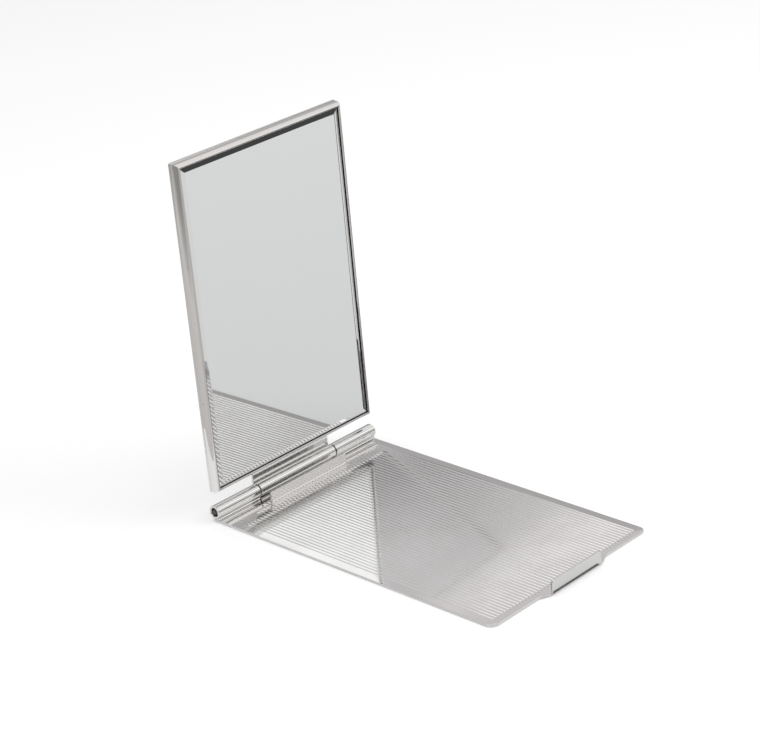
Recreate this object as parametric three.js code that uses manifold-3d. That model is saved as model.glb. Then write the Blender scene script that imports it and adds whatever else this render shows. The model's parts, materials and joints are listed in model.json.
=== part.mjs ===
// A folding handbag mirror: an engraved cover plate and a framed, bevelled glass on a tube hinge.
// Millimetres, +Z up. X runs along the hinge, and the front edge is towards -Y.
// The cover plate lies on Z = 0 with the origin under its middle, and the mirror stands open at its back.
import * as THREE from "three";
import { mergeGeometries, mergeVertices } from "three/addons/utils/BufferGeometryUtils.js";
import Module from "manifold-3d";

// Cover plate
const PLATE_WIDTH = 54;
const PLATE_REACH = 86; // from the hinge axis to the front edge
const PLATE_BACK = 0.2; // how far the plate goes on behind the axis
const PLATE_THICKNESS = 0.55;
const PLATE_CORNER_RADIUS = 2;
const EDGE_ROUND = 0.1; // the broken edge of every sheet piece

// Engraved lines on the plate, from the hinge to the front edge
const LINE_PITCH = 1.04;
const LINE_WIDTH = 0.46;
const LINE_DEPTH = 0.08;
const LINE_SIDE_BORDER = 2.3; // plain metal along the long edges
const LINE_FRONT_BORDER = 1;
const LINE_BACK_BORDER = 3; // from the hinge axis

// Tab and catch lip at the front edge
const LIP_WIDTH = 17;
const LIP_HEIGHT = 3.05; // above the plate
const LIP_CORNER_RADIUS = 0.7;
const TAB_REACH = 1.4; // beyond the plate's front edge
const TAB_SHOULDER = 3.7; // width of the ogee on each side
const BEAD_RADIUS = 0.8;
const BEAD_WIDTH = 12;
const BEAD_HEIGHT = 1.6; // of its middle, above the plate

// Hinge
const KNUCKLE_RADIUS = 1.65;
const BORE_RADIUS = 1.1;
const PIN_CLEARANCE = 0.05;
const PIN_END_RADIUS = 0.3;
const PIN_RECESS = 2.6; // how far the pin's ends lie inside the tubes
const KNUCKLE_GAP = 0.3; // between neighbouring knuckles
const MIDDLE_KNUCKLE_WIDTH = 25.6;
const SEAT_HEIGHT = 0.15; // the solder seat that lifts the tubes off the plate
const SEAT_FRONT = 0.7; // how far the seat goes in front of the axis
const LEAF_THICKNESS = 0.45;
const LEAF_OVERLAP = 4.5; // how far the leaf lies on the back plate
const OPEN_LEAN_DEG = 0.8; // how far the open mirror leans back

// Guard strip in front of the middle knuckle
const GUARD_WIDTH = 25.8;
const GUARD_HEIGHT = 2.45; // above the plate
const GUARD_THICKNESS = 0.5;
const GUARD_CORNER_RADIUS = 0.4;
const GUARD_CLEARANCE = 0.15; // to the closed frame's foot

// Mirror frame
const FRAME_WIDTH = 52.7;
const FRAME_FOOT = 4.95; // from the hinge axis to the frame's near edge
const FRAME_HEIGHT = 80.95;
const FRAME_FRONT = 1.5; // how far the frame's front stands before the axis
const RAIL_WALL = 0.5;
const RAIL_LIP_WIDTH = 0.95;
const RAIL_LIP_THICKNESS = 0.4;
const RAIL_ROUND = 0.35; // the rounded front edge
const BACK_PLATE_THICKNESS = 0.4;
const BACK_PLATE_OVERHANG = 0.15; // beyond the rails at the sides and the foot
const BACK_PLATE_TOP_OVERHANG = 0.25; // beyond the top rail, over the catch bead
const BACK_PLATE_CORNER_RADIUS = 0.4;

// Glass and card
const GLASS_THICKNESS = 1.3;
const GLASS_CLEARANCE = 0.1; // to the rails all round
const GLASS_RECESS = 0.36; // behind the frame's front
const BEVEL_WIDTH = 1.75;
const BEVEL_DEPTH = 0.3;
const CARD_MARGIN = 0.2; // to the rails all round

const CUT_OVERRUN = 0.05; // how far a cutter stands out of what it cuts
const SEAT_GAP = 0.02; // between pieces that rest on each other
const MITRE_GAP = 0.01; // taken off each mitred end
const ARC_SEGMENTS = 48; // facets in a full round
const CORNER_SEGMENTS = 6; // facets in a rounded corner

// Sizes that follow from those above
const AXIS_Z = PLATE_THICKNESS + SEAT_HEIGHT + KNUCKLE_RADIUS;
const FRAME_BACK = KNUCKLE_RADIUS - LEAF_THICKNESS; // the leaf lies on this face
const RAIL_DEPTH = FRAME_FRONT + FRAME_BACK - BACK_PLATE_THICKNESS;
const FRAME_MIDDLE = FRAME_FOOT + FRAME_HEIGHT / 2;
const OUTER_KNUCKLE_WIDTH = (PLATE_WIDTH - MIDDLE_KNUCKLE_WIDTH) / 2 - KNUCKLE_GAP;
const GUARD_FRONT = -(FRAME_FOOT - GUARD_CLEARANCE);
const GLASS_FRONT = -FRAME_FRONT + GLASS_RECESS;
const GLASS_WIDTH = FRAME_WIDTH - 2 * (RAIL_WALL + GLASS_CLEARANCE);
const GLASS_HEIGHT = FRAME_HEIGHT - 2 * (RAIL_WALL + GLASS_CLEARANCE);
const CARD_FRONT = GLASS_FRONT + GLASS_THICKNESS + SEAT_GAP;
const CARD_THICKNESS = FRAME_BACK - BACK_PLATE_THICKNESS - SEAT_GAP - CARD_FRONT;

const wasm = await Module();
wasm.setup();

const silver = () => new THREE.MeshStandardMaterial({ color: 0xd4d3d0, roughness: 0.16, metalness: 1 });
const satinSilver = () => new THREE.MeshStandardMaterial({ color: 0xc9c8c6, roughness: 0.34, metalness: 1 });
const pinSteel = () => new THREE.MeshStandardMaterial({ color: 0x6f6c68, roughness: 0.45, metalness: 1 });
const silvering = () => new THREE.MeshStandardMaterial({ color: 0xd6d8d8, roughness: 0.02, metalness: 1 });
const greyCard = () => new THREE.MeshStandardMaterial({ color: 0x4a4846, roughness: 0.95, metalness: 0 });

function named(name, geometry, material) {
  const mesh = new THREE.Mesh(geometry, material);
  mesh.name = name;
  return mesh;
}

// A rectangle centred on the origin with round corners; the corners at +Y can have a radius of their own.
function roundedRectangle(width, height, radius, topRadius = radius) {
  const x = width / 2;
  const y = height / 2;
  const shape = new THREE.Shape();
  shape.moveTo(-x + radius, -y);
  shape.lineTo(x - radius, -y);
  shape.absarc(x - radius, -y + radius, radius, -Math.PI / 2, 0);
  shape.lineTo(x, y - topRadius);
  shape.absarc(x - topRadius, y - topRadius, topRadius, 0, Math.PI / 2);
  shape.lineTo(-x + topRadius, y);
  shape.absarc(-x + topRadius, y - topRadius, topRadius, Math.PI / 2, Math.PI);
  shape.lineTo(-x, -y + radius);
  shape.absarc(-x + radius, -y + radius, radius, Math.PI, (3 * Math.PI) / 2);
  return shape;
}

// A flat sheet of the shape, from 0 up to its thickness, with its edges broken inside the outline.
function sheet(shape, thickness) {
  const geometry = new THREE.ExtrudeGeometry(shape, {
    depth: thickness - 2 * EDGE_ROUND,
    bevelEnabled: true,
    bevelThickness: EDGE_ROUND,
    bevelSize: EDGE_ROUND,
    bevelOffset: -EDGE_ROUND,
    bevelSegments: 2,
    curveSegments: CORNER_SEGMENTS,
  });
  return geometry.translate(0, 0, EDGE_ROUND);
}

// A sheet stood upright: the shape's y becomes Z, and the thickness goes from 0 towards +Y.
function uprightSheet(shape, thickness) {
  return sheet(shape, thickness).rotateX(Math.PI / 2).translate(0, thickness, 0);
}

// A section drawn in Y and Z, run along X and centred on it.
function alongX(section, width, curveSegments) {
  const geometry = new THREE.ExtrudeGeometry(section, {
    depth: width,
    bevelEnabled: false,
    curveSegments,
  });
  const turned = new THREE.Matrix4().makeBasis(
    new THREE.Vector3(0, 1, 0),
    new THREE.Vector3(0, 0, 1),
    new THREE.Vector3(1, 0, 0),
  );
  return geometry.translate(0, 0, -width / 2).applyMatrix4(turned);
}

function asSolid(geometry) {
  const bare = geometry.clone();
  bare.deleteAttribute("normal");
  bare.deleteAttribute("uv");
  const merged = mergeVertices(bare);
  return new wasm.Manifold(
    new wasm.Mesh({
      numProp: 3,
      vertProperties: merged.attributes.position.array,
      triVerts: new Uint32Array(merged.index.array),
    }),
  );
}

function asGeometry(solid) {
  const mesh = solid.getMesh();
  const geometry = new THREE.BufferGeometry();
  geometry.setAttribute("position", new THREE.BufferAttribute(new Float32Array(mesh.vertProperties), 3));
  geometry.setIndex(new THREE.BufferAttribute(new Uint32Array(mesh.triVerts), 1));
  geometry.computeVertexNormals();
  return geometry;
}

// The cover plate's outline, with y along the part's Y.
function plateOutline() {
  const x = PLATE_WIDTH / 2;
  const front = -PLATE_REACH;
  const tab = front - TAB_REACH;
  const neck = LIP_WIDTH / 2;
  const shoulder = neck + TAB_SHOULDER;
  const r = PLATE_CORNER_RADIUS;
  const shape = new THREE.Shape();
  shape.moveTo(x, PLATE_BACK);
  shape.lineTo(-x, PLATE_BACK);
  shape.lineTo(-x, front + r);
  shape.absarc(-x + r, front + r, r, Math.PI, (3 * Math.PI) / 2);
  shape.lineTo(-shoulder, front);
  ogeeTo(shape, -shoulder, front, -neck, tab);
  shape.lineTo(neck, tab);
  ogeeTo(shape, neck, tab, shoulder, front);
  shape.lineTo(x - r, front);
  shape.absarc(x - r, front + r, r, -Math.PI / 2, 0);
  return shape;
}

// An S-curve that leaves the first point and meets the second one level.
function ogeeTo(shape, x0, y0, x1, y1) {
  const middle = (x0 + x1) / 2;
  shape.bezierCurveTo(middle, y0, middle, y1, x1, y1);
}

// The cutter of one engraved line: a V that is as wide as the line where it meets the plate's face.
function lineCutter(x) {
  const slope = LINE_WIDTH / 2 / LINE_DEPTH;
  const section = new THREE.Shape();
  section.moveTo(0, -LINE_DEPTH);
  section.lineTo(slope * (LINE_DEPTH + CUT_OVERRUN), CUT_OVERRUN);
  section.lineTo(-slope * (LINE_DEPTH + CUT_OVERRUN), CUT_OVERRUN);
  section.closePath();
  const length = PLATE_REACH - LINE_FRONT_BORDER - LINE_BACK_BORDER;
  const cutter = new THREE.ExtrudeGeometry(section, { depth: length, bevelEnabled: false });
  return cutter.rotateX(Math.PI / 2).translate(x, -LINE_BACK_BORDER, PLATE_THICKNESS);
}

// One cutter for each line. They widen where they stand out of the plate, but not enough to meet.
function lineCutters() {
  const spaces = Math.floor((PLATE_WIDTH - 2 * LINE_SIDE_BORDER) / LINE_PITCH);
  const cutters = [];
  for (let i = 0; i <= spaces; i += 1) {
    cutters.push(lineCutter((i - spaces / 2) * LINE_PITCH));
  }
  return mergeGeometries(cutters);
}

function coverPlate() {
  const plain = asSolid(sheet(plateOutline(), PLATE_THICKNESS));
  const engraved = plain.subtract(asSolid(lineCutters()));
  return named("cover_plate", asGeometry(engraved), silver());
}

function catchLip() {
  const height = LIP_HEIGHT - SEAT_GAP;
  const outline = roundedRectangle(LIP_WIDTH, height, EDGE_ROUND * 2, LIP_CORNER_RADIUS);
  const lip = named("catch_lip", uprightSheet(outline, PLATE_THICKNESS), silver());
  const middle = PLATE_THICKNESS + SEAT_GAP + height / 2;
  lip.position.set(0, -PLATE_REACH - TAB_REACH, middle);
  return lip;
}

// The bead lies along the lip's inner face, flat side to the lip.
function catchBead() {
  const section = new THREE.Shape();
  section.absarc(0, 0, BEAD_RADIUS, -Math.PI / 2, Math.PI / 2);
  section.closePath();
  const bead = named("catch_bead", alongX(section, BEAD_WIDTH, ARC_SEGMENTS / 4), silver());
  const lipInside = -PLATE_REACH - TAB_REACH + PLATE_THICKNESS;
  bead.position.set(0, lipInside + SEAT_GAP, PLATE_THICKNESS + BEAD_HEIGHT);
  return bead;
}

function knuckleGuard() {
  const height = GUARD_HEIGHT - SEAT_GAP;
  const outline = roundedRectangle(GUARD_WIDTH, height, EDGE_ROUND * 2, GUARD_CORNER_RADIUS);
  const guard = named("knuckle_guard", uprightSheet(outline, GUARD_THICKNESS), satinSilver());
  guard.position.set(0, GUARD_FRONT, PLATE_THICKNESS + SEAT_GAP + height / 2);
  return guard;
}

function boreHole() {
  const hole = new THREE.Path();
  hole.absarc(0, 0, BORE_RADIUS, 0, 2 * Math.PI, true);
  return hole;
}

// An outer knuckle: a tube on a narrow solder seat whose flat foot stands on the plate.
function outerKnuckle(name, side) {
  const r = KNUCKLE_RADIUS;
  const foot = PLATE_THICKNESS + SEAT_GAP - AXIS_Z;
  const behind = Math.asin(PLATE_BACK / r);
  const before = Math.asin(SEAT_FRONT / r);
  const section = new THREE.Shape();
  section.moveTo(-SEAT_FRONT, foot);
  section.lineTo(PLATE_BACK, foot);
  section.absarc(0, 0, r, -Math.PI / 2 + behind, (3 * Math.PI) / 2 - before);
  section.closePath();
  section.holes.push(boreHole());
  const knuckle = named(name, alongX(section, OUTER_KNUCKLE_WIDTH, ARC_SEGMENTS / 2), silver());
  knuckle.position.set((side * (PLATE_WIDTH - OUTER_KNUCKLE_WIDTH)) / 2, 0, AXIS_Z);
  return knuckle;
}

// The pin is a rod with rounded ends, turned about its own length.
function hingePin() {
  const r = BORE_RADIUS - PIN_CLEARANCE;
  const half = PLATE_WIDTH / 2 - PIN_RECESS;
  const e = PIN_END_RADIUS;
  const profile = new THREE.Path();
  profile.moveTo(0, -half);
  profile.lineTo(r - e, -half);
  profile.absarc(r - e, -half + e, e, -Math.PI / 2, 0);
  profile.lineTo(r, half - e);
  profile.absarc(r - e, half - e, e, 0, Math.PI / 2);
  profile.lineTo(0, half);
  const points = profile.getPoints(CORNER_SEGMENTS);
  const pin = named("hinge_pin", new THREE.LatheGeometry(points, ARC_SEGMENTS), pinSteel());
  pin.rotation.z = Math.PI / 2;
  pin.position.z = AXIS_Z;
  return pin;
}

// The middle knuckle and its leaf in one: a tube whose back runs on upwards as a flat strip.
function hingeLeaf() {
  const r = KNUCKLE_RADIUS;
  const top = FRAME_FOOT + LEAF_OVERLAP;
  const leafFront = FRAME_BACK + SEAT_GAP;
  const meets = Math.acos(leafFront / r);
  const section = new THREE.Shape();
  section.moveTo(r, 0);
  section.lineTo(r, top - EDGE_ROUND);
  section.lineTo(r - EDGE_ROUND, top);
  section.lineTo(leafFront + EDGE_ROUND, top);
  section.lineTo(leafFront, top - EDGE_ROUND);
  section.absarc(0, 0, r, meets, 2 * Math.PI);
  section.holes.push(boreHole());
  return named("hinge_leaf", alongX(section, MIDDLE_KNUCKLE_WIDTH, ARC_SEGMENTS / 2), silver());
}

// The plate reaches a little past the rails all round, and further past the top rail.
function backPlate() {
  const width = FRAME_WIDTH + 2 * BACK_PLATE_OVERHANG;
  const height = FRAME_HEIGHT + BACK_PLATE_OVERHANG + BACK_PLATE_TOP_OVERHANG;
  const outline = roundedRectangle(width, height, BACK_PLATE_CORNER_RADIUS);
  const plate = named("back_plate", uprightSheet(outline, BACK_PLATE_THICKNESS), silver());
  plate.position.set(0, FRAME_BACK - BACK_PLATE_THICKNESS, FRAME_FOOT - BACK_PLATE_OVERHANG + height / 2);
  return plate;
}

// A rail's section: an outer wall and a front lip over the glass. Its x is depth, and its y goes inwards.
function railSection() {
  const depth = RAIL_DEPTH - SEAT_GAP;
  const r = RAIL_ROUND;
  const section = new THREE.Shape();
  section.moveTo(r, 0);
  section.lineTo(depth, 0);
  section.lineTo(depth, RAIL_WALL);
  section.lineTo(RAIL_LIP_THICKNESS, RAIL_WALL);
  section.lineTo(RAIL_LIP_THICKNESS, RAIL_LIP_WIDTH);
  section.lineTo(EDGE_ROUND, RAIL_LIP_WIDTH);
  section.lineTo(0, RAIL_LIP_WIDTH - EDGE_ROUND);
  section.lineTo(0, r);
  section.absarc(r, r, r, Math.PI, (3 * Math.PI) / 2);
  return section;
}

// One rail of the given length with mitred ends, its outer face the given distance from the frame's middle.
function rail(name, length, distance, quarterTurns) {
  const geometry = alongX(railSection(), length, CORNER_SEGMENTS);
  const position = geometry.attributes.position;
  for (let i = 0; i < position.count; i += 1) {
    const end = length / 2 - position.getZ(i) - MITRE_GAP;
    position.setX(i, Math.sign(position.getX(i)) * end);
  }
  geometry.translate(0, -FRAME_FRONT, -distance);
  geometry.computeVertexNormals();
  const piece = named(name, geometry, silver());
  piece.rotation.y = (quarterTurns * Math.PI) / 2;
  return piece;
}

function rails() {
  const group = new THREE.Group();
  group.add(
    rail("bottom_rail", FRAME_WIDTH, FRAME_HEIGHT / 2, 0),
    rail("left_rail", FRAME_HEIGHT, FRAME_WIDTH / 2, 1),
    rail("top_rail", FRAME_WIDTH, FRAME_HEIGHT / 2, 2),
    rail("right_rail", FRAME_HEIGHT, FRAME_WIDTH / 2, 3),
  );
  group.position.z = FRAME_MIDDLE;
  return group;
}

// A slab with its front edge bevelled all round: its front layer is drawn in, its middle layer set back.
function mirrorGlass() {
  const geometry = new THREE.BoxGeometry(GLASS_WIDTH, GLASS_THICKNESS, GLASS_HEIGHT, 1, 2, 1);
  const position = geometry.attributes.position;
  const middle = GLASS_THICKNESS / 4;
  for (let i = 0; i < position.count; i += 1) {
    if (position.getY(i) < -middle) {
      position.setX(i, position.getX(i) - Math.sign(position.getX(i)) * BEVEL_WIDTH);
      position.setZ(i, position.getZ(i) - Math.sign(position.getZ(i)) * BEVEL_WIDTH);
    } else if (position.getY(i) < middle) {
      position.setY(i, -GLASS_THICKNESS / 2 + BEVEL_DEPTH);
    }
  }
  geometry.computeVertexNormals();
  const glass = named("mirror_glass", geometry, silvering());
  glass.position.set(0, GLASS_FRONT + GLASS_THICKNESS / 2, FRAME_MIDDLE);
  return glass;
}

function backingCard() {
  const width = FRAME_WIDTH - 2 * (RAIL_WALL + CARD_MARGIN);
  const height = FRAME_HEIGHT - 2 * (RAIL_WALL + CARD_MARGIN);
  const card = named("backing_card", new THREE.BoxGeometry(width, CARD_THICKNESS, height), greyCard());
  card.position.set(0, CARD_FRONT + CARD_THICKNESS / 2, FRAME_MIDDLE);
  return card;
}

const cover = new THREE.Group();
cover.add(
  coverPlate(),
  catchLip(),
  catchBead(),
  knuckleGuard(),
  outerKnuckle("left_knuckle", -1),
  outerKnuckle("right_knuckle", 1),
  hingePin(),
);

// The mirror's own group has its origin on the hinge axis, and leans back a little.
const mirror = new THREE.Group();
mirror.add(hingeLeaf(), backPlate(), rails(), mirrorGlass(), backingCard());
mirror.position.z = AXIS_Z;
mirror.rotation.x = THREE.MathUtils.degToRad(-OPEN_LEAN_DEG);

// Both were built from the hinge axis, so the pair moves back until the origin is under the plate's middle.
const pair = new THREE.Group();
pair.add(cover, mirror);
pair.position.y = PLATE_REACH / 2;

const compactMirror = new THREE.Group();
compactMirror.add(pair);

export default compactMirror;
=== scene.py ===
"""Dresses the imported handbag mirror: engraved silver plate, tube hinge, framed glass, and the studio."""

import json
import math

import bmesh
import bpy
from mathutils import Matrix, Vector


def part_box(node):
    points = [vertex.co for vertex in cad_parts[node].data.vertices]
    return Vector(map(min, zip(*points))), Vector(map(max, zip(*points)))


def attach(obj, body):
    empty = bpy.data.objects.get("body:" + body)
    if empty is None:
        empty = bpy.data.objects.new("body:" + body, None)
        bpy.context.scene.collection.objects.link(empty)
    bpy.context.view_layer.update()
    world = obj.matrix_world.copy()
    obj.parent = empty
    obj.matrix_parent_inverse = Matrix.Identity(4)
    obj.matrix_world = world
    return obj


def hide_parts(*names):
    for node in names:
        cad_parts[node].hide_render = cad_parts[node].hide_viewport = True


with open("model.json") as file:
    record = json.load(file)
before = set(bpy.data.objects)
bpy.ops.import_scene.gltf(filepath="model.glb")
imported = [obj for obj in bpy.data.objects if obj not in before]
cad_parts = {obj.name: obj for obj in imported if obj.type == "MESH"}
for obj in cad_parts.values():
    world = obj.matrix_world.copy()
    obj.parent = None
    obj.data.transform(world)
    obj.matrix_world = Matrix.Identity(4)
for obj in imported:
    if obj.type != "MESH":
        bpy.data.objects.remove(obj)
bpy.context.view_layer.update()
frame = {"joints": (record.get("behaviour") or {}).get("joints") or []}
HINGE = Vector(frame["joints"][0]["pos_m"])
PLATE_LOW, PLATE_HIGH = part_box("cover_plate")

bl_info = {
    "name": "Handbag Mirror",
    "version": (1, 0, 0),
    "blender": (4, 5, 0),
    "location": "View3D > Sidebar > Mirror",
    "description": "Builds a folding handbag mirror in engraved silver around its packed frame",
    "category": "Object",
}

SMOOTH_ANGLE = math.radians(17)  # edges sharper than this stay sharp
ARRIS_ANGLE = math.radians(5)  # the same for the glass, whose bevel is shallow
ROUND_STEPS = 6  # facets in a rounded edge or corner
OGEE_STEPS = 10
DOME_STEPS = 14  # facets in a rail's dome and in the leaf's bend
TUBE_STEPS = 72
QUARTER_TURN = [math.pi / 2 * i / ROUND_STEPS for i in range(ROUND_STEPS + 1)]
SEAT_GAP = 0.00002  # between the glass and the card, and between the card and the back plate
TINY = 1e-6


# Sizes and colours


def number(name, description, default, **kind):
    return bpy.props.FloatProperty(name=name, description=description, default=default, **kind)


def triple(name, description, default, **kind):
    return bpy.props.FloatVectorProperty(name=name, description=description, default=default, size=3, **kind)


def length(name, description, metres):
    return number(name, description, metres, unit="LENGTH", precision=5)


def angle(name, description, degrees):
    return number(name, description, math.radians(degrees), unit="ROTATION")


def share(name, description, default):
    return number(name, description, default, min=0, soft_max=1, subtype="FACTOR")


def colour(name, description, default):
    return triple(name, description, default, min=0, max=1, subtype="COLOR")


class PlateSizes(bpy.types.PropertyGroup):
    """The engraved cover plate, its tab and its catch."""

    corner_radius: length("Corner radius", "Radius of the two front corners", 0.002)
    edge_round: length("Edge round", "Radius of the polished edges", 0.00012)
    tab_reach: length("Tab reach", "How far the tab stands out of the front edge", 0.0014)
    tab_shoulder: length("Tab shoulder", "Width of the ogee on each side of the tab", 0.0037)
    bend_round: length("Bend round", "Radius under the lip, where the sheet bends up", 0.0009)
    line_pitch: length("Line pitch", "Distance between engraved lines", 0.00104)
    line_width: length("Line width", "Width of an engraved line", 0.00046)
    line_depth: length("Line depth", "Depth of an engraved line", 0.00008)
    line_run_out: length("Line run-out", "How far a line takes to reach its depth", 0.0012)
    side_border: length("Side border", "Plain metal beside the outermost lines", 0.0023)
    front_border: length("Front border", "Plain metal in front of the lines", 0.001)
    back_border: length("Back border", "From the hinge axis to the lines", 0.003)
    far_droop: angle("Far droop", "How far use has bent down the border on the right", 3.5)
    lip_corner: length("Lip corner", "Radius of the lip's upper corners", 0.0007)


class HingeSizes(bpy.types.PropertyGroup):
    """The tube hinge."""

    knuckle_radius: length("Knuckle radius", "Outer radius of the three tubes", 0.00165)
    bore_radius: length("Bore radius", "Inner radius of the three tubes", 0.0011)
    end_round: length("End round", "Radius at the tubes' ends", 0.00012)
    solder_width: length("Solder width", "How far the solder runs out in front of a tube", 0.0004)
    solder_start: angle("Solder start", "Where the solder leaves a tube, turned from its back", -128)
    solder_hollow: share("Solder hollow", "How far the solder draws into its corner", 0.75)
    leaf_thickness: length("Leaf thickness", "Thickness of the leaf", 0.00043)
    leaf_bend: length("Leaf bend", "How far the leaf's lower part stands forward", 0.00022)
    bend_top: length("Bend top", "From the hinge axis to the upper end of the leaf's bend", 0.0050)
    bend_foot: length("Bend foot", "From the hinge axis to the lower end of the leaf's bend", 0.0032)
    leaf_top: length("Leaf top", "From the hinge axis to the leaf's upper edge", 0.00945)
    guard_solder: length("Guard solder", "Radius of the solder along the guard's foot", 0.0004)
    guard_corner: length("Guard corner", "Radius of the guard's upper corners", 0.0004)
    pin_dome: share("Pin dome", "Height of the pin's domed ends, as a share of its radius", 0.35)


class FrameSizes(bpy.types.PropertyGroup):
    """The mirror's frame and glass, measured in the mirror's own upright position."""

    lean: angle("Lean", "How far the open mirror leans back", 0.8)
    width: length("Width", "Width over the rails", 0.0527)
    foot: length("Foot", "From the hinge axis to the bottom rail", 0.00495)
    height: length("Height", "Height over the rails", 0.08095)
    front: length("Front", "From the hinge axis forward to the rails' face", 0.0015)
    back: length("Back", "From the hinge axis back to the back plate's outer face", 0.0012)
    back_thickness: length("Back thickness", "Thickness of the back plate", 0.0004)
    overhang: length("Overhang", "How far the back plate stands out of the rails", 0.00015)
    top_overhang: length("Top overhang", "The same at the top", 0.00025)
    back_corner: length("Back corner", "Radius of the back plate's corners", 0.0004)
    rail_wall: length("Rail wall", "Thickness of a rail's outer wall", 0.0005)
    lip_width: length("Lip width", "Width of a rail's lip over the glass", 0.00095)
    lip_thickness: length("Lip thickness", "Thickness of a rail's lip", 0.0004)
    rail_round: length("Rail round", "How much of a rail's face is domed", 0.00085)
    rail_sweep: length("Rail sweep", "How far back the dome reaches on a rail's outer side", 0.0016)
    mitre_gap: length("Mitre gap", "Taken off each mitred end", 0.00001)
    glass_clearance: length("Glass clearance", "From the glass to the rails", 0.0001)
    glass_recess: length("Glass recess", "How far the glass lies behind the rails' face", 0.00036)
    glass_back: length("Glass back", "From the rails' face to the back of the glass", 0.00166)
    bevel_width: length("Bevel width", "Width of the glass's bevel", 0.00175)
    bevel_depth: length("Bevel depth", "Depth of the glass's bevel at its edge", 0.0003)
    arris_width: length("Arris width", "Width of the soft line where the bevel starts", 0.00014)


class Finishes(bpy.types.PropertyGroup):
    """Colours and roughness of the worked silver."""

    silver: colour("Silver", "Polished silver", (0.87, 0.86, 0.85))
    tarnish: colour("Tarnish", "Warm film on old silver", (0.62, 0.56, 0.49))
    # Line floor is also the grey of the rails' painted shade along the glass, and of the pits.
    line_floor: colour("Line floor", "Silver at the bottom of the engraved lines", (0.52, 0.51, 0.52))
    polish: share("Polish", "Roughness of the polished silver", 0.035)
    plate_grain: share("Plate grain", "How much rougher the engraved plate is", 0.03)
    scratches: share("Scratches", "How much the hairline scratches show", 0.25)
    line_paint: share("Line darkness", "How dark the bottom of an engraved line is", 0.16)
    # Here the tarnish is the rails' band along the glass, painted shade with some tarnish.
    dull_lines: share("Dull lines", "How much rougher the engraved lines and the tarnish are", 0.02)
    satin: share("Satin", "How rough the guard's satin face is", 0.2)


class StageSettings(bpy.types.PropertyGroup):
    """The floor, the lights and the camera."""

    floor: colour("Floor", "Colour of the floor", (0.86, 0.86, 0.86))
    floor_behind: colour("Floor behind", "The same behind the mirror, as the metal reflects it", (1, 1, 1))
    floor_before: colour("Floor in front", "The same in front of the mirror", (0.84, 0.83, 0.82))
    # A painted shadow on the floor along the tab's foot.
    painted_tab_shadow: colour("Under the tab", "The same along the tab's foot", (0.12, 0.12, 0.12))
    tab_shadow: length("Tab shadow", "Width of the dark line along the tab's foot", 0.0012)
    floor_radius: length("Floor radius", "Radius of the floor", 0.55)
    plain_light: colour("Plain light", "The light from all round", (0.55, 0.55, 0.55))
    lift: share("Lift", "Light that the floor adds for the camera alone", 0.3)
    lens: number("Lens", "Focal length in millimetres", 111.81, unit="CAMERA")
    eye: triple(
        "Eye", "Camera's place, from the floor under the hinge", (-0.3486, -0.3798, 0.2539), unit="LENGTH"
    )
    azimuth: angle("Azimuth", "How far the view turns from straight ahead to the right", 45.07)
    elevation: angle("Elevation", "How far the view looks down", 23.68)
    roll: angle("Roll", "How far the camera is tilted to its side", -4.81)


class MirrorSettings(bpy.types.PropertyGroup):
    """All the settings of the handbag mirror."""

    plate: bpy.props.PointerProperty(type=PlateSizes, name="Plate", description="Cover plate")
    hinge: bpy.props.PointerProperty(type=HingeSizes, name="Hinge", description="Tube hinge")
    frame: bpy.props.PointerProperty(type=FrameSizes, name="Frame", description="Mirror frame")
    finish: bpy.props.PointerProperty(type=Finishes, name="Finish", description="Colours")
    stage: bpy.props.PointerProperty(type=StageSettings, name="Stage", description="Studio")


# Shader wiring


def operation(kind, reflected=False):
    """An operator of Signal, made as a math node."""

    def join(self, other):
        return self.math(kind, other, self) if reflected else self.math(kind, self, other)

    return join


class Signal:
    """A shader socket that can stand in a Python expression."""

    def __init__(self, wiring, socket):
        self.wiring = wiring
        self.socket = socket

    def math(self, kind, *values):
        return self.wiring.signal("ShaderNodeMath", 0, {"operation": kind}, dict(enumerate(values)))

    __add__ = __radd__ = operation("ADD")
    __mul__ = __rmul__ = operation("MULTIPLY")
    __sub__ = operation("SUBTRACT")
    __rsub__ = operation("SUBTRACT", reflected=True)
    __truediv__ = operation("DIVIDE")
    __rtruediv__ = operation("DIVIDE", reflected=True)
    __mod__ = operation("FLOORED_MODULO")
    __rmod__ = operation("FLOORED_MODULO", reflected=True)
    __gt__ = operation("GREATER_THAN")
    __lt__ = operation("LESS_THAN")

    def __abs__(self):
        return self.math("ABSOLUTE", self)

    def within(self, low, high):
        """1 between the two limits, and 0 elsewhere."""
        return (self > low) * (self < high)


def set_stops(elements, stops):
    """Sets a colour ramp's stops, each a position with a grey level or a colour."""
    while len(elements) < len(stops):
        elements.new(1)
    for element, (position, level) in zip(elements, stops):
        element.position = position
        element.color = (*level, 1) if isinstance(level, tuple) else (level, level, level, 1)


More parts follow.
